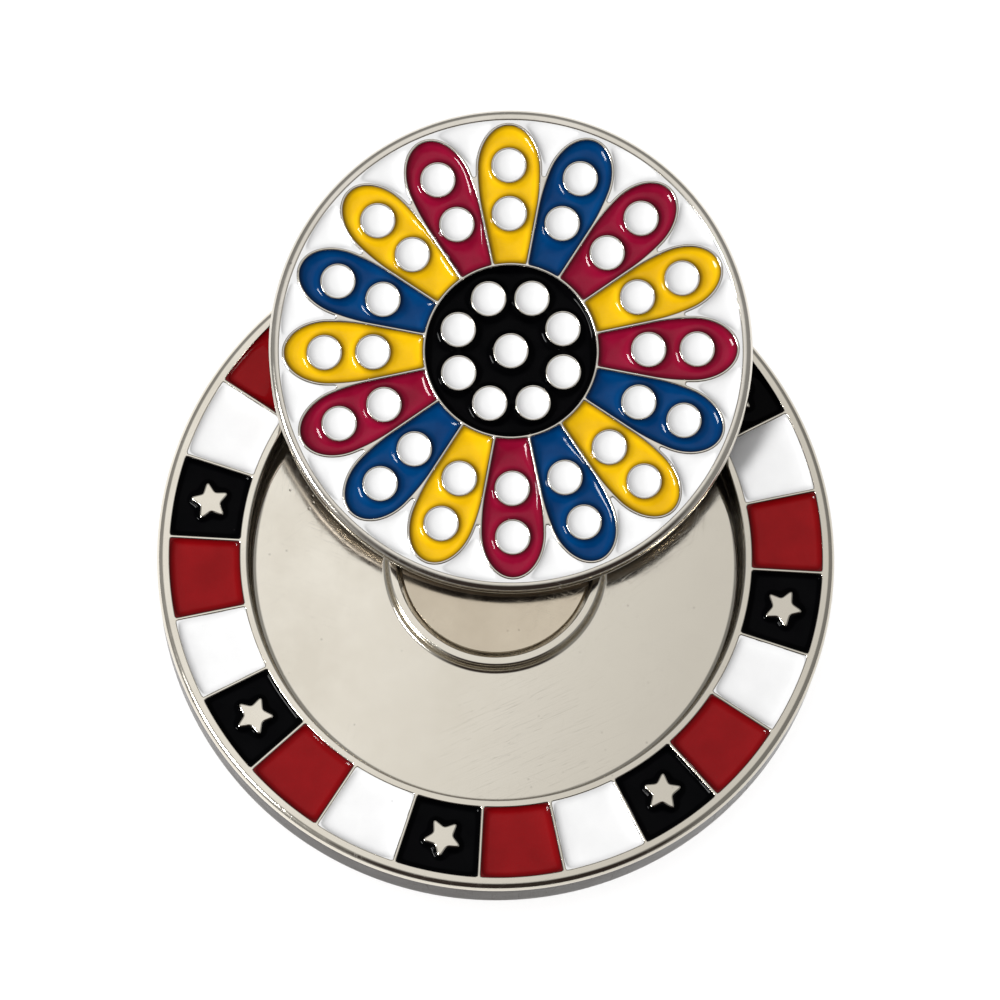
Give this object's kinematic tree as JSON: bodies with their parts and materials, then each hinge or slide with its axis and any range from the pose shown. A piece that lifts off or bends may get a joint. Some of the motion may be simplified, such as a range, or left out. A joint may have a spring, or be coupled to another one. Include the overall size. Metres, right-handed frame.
{
  "type": "golf ball marker",
  "caption": "Round metal chip with a ring of enamel cells and a magnet in its recess, carrying a lift-off enamelled ball marker disc that leans on the recess's lip.",
  "frame": {"origin": "centre of the chip's flat back face", "axes": "+Z out of the chip's enamelled front, +Y towards the leaning marker (about 4 degrees off its slope), +X to the right when the front faces the viewer and the marker is up"},
  "size_m": [0.0396, 0.0456, 0.0091],
  "materials": {
    "nickel_plate": "soft polished nickel plate with fine handling scratches",
    "magnet_plate": "nickel plate, slightly duller and warmer than the chip",
    "glue": "set adhesive, hidden under the magnet",
    "red_enamel": "glossy soft enamel",
    "white_enamel": "glossy soft enamel",
    "black_enamel": "glossy soft enamel",
    "yellow_enamel": "glossy soft enamel",
    "blue_enamel": "glossy soft enamel",
    "magenta_enamel": "glossy soft enamel"
  },
  "bodies": {
    "chip": {"chip_body": "nickel_plate", "magnet": "magnet_plate", "magnet_glue": "glue", "red_cell_1": "red_enamel", "white_cell_1": "white_enamel", "black_cell_1": "black_enamel", "red_cell_2": "red_enamel", "white_cell_2": "white_enamel", "black_cell_2": "black_enamel", "red_cell_3": "red_enamel", "white_cell_3": "white_enamel", "black_cell_3": "black_enamel", "red_cell_4": "red_enamel", "white_cell_4": "white_enamel", "black_cell_4": "black_enamel", "red_cell_5": "red_enamel", "white_cell_5": "white_enamel", "black_cell_5": "black_enamel", "red_cell_6": "red_enamel", "white_cell_6": "white_enamel", "black_cell_6": "black_enamel", "red_cell_7": "red_enamel", "white_cell_7": "white_enamel", "black_cell_7": "black_enamel", "red_cell_8": "red_enamel", "white_cell_8": "white_enamel", "black_cell_8": "black_enamel"},
    "marker": {"marker_body": "nickel_plate", "white_field": "white_enamel", "yellow_petal_1": "yellow_enamel", "blue_petal_1": "blue_enamel", "magenta_petal_1": "magenta_enamel", "yellow_petal_2": "yellow_enamel", "magenta_petal_2": "magenta_enamel", "blue_petal_2": "blue_enamel", "yellow_petal_3": "yellow_enamel", "blue_petal_3": "blue_enamel", "magenta_petal_3": "magenta_enamel", "yellow_petal_4": "yellow_enamel", "blue_petal_4": "blue_enamel", "magenta_petal_4": "magenta_enamel", "yellow_petal_5": "yellow_enamel", "blue_petal_5": "blue_enamel", "yellow_petal_6": "yellow_enamel", "magenta_petal_5": "magenta_enamel", "black_hub": "black_enamel", "petal_dots": "white_enamel", "hub_dots": "white_enamel", "centre_dot": "white_enamel"}
  },
  "joints": [
    {"name": "marker_lift", "type": "slide", "parent": "chip", "child": "marker", "axis": [0, 0, 1], "range_m": [0, 0.025]}
  ]
}
